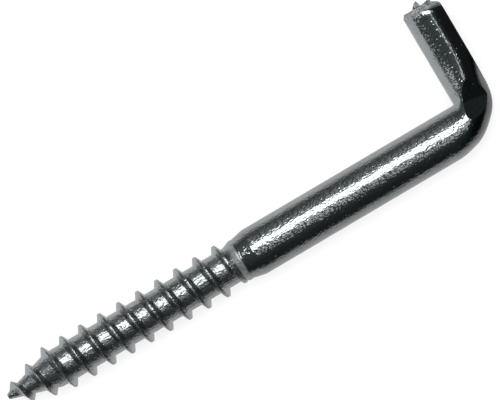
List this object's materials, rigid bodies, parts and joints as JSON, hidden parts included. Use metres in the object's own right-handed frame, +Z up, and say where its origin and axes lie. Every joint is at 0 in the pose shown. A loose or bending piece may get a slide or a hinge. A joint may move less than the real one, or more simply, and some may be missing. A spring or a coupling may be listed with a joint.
{
  "type": "screw hook",
  "caption": "Square-bend screw hook of plated steel wire: coarse wood thread with a point, plain round shank, and a short upright arm with a pressed flat and a driver slot.",
  "frame": {"origin": "on the shank's axis, where the full-diameter plain shank begins beyond the neck", "axes": "+X along the shank from the point to the arm, +Y along the arm, +Z up out of the plane of the bend; the hook lies on its side"},
  "size_m": [0.06, 0.0168, 0.0054],
  "materials": {
    "zinc_plated_steel": "bright zinc plate over drawn steel wire, finely pitted"
  },
  "bodies": {
    "root": {"screw_hook": "zinc_plated_steel"}
  },
  "joints": []
}
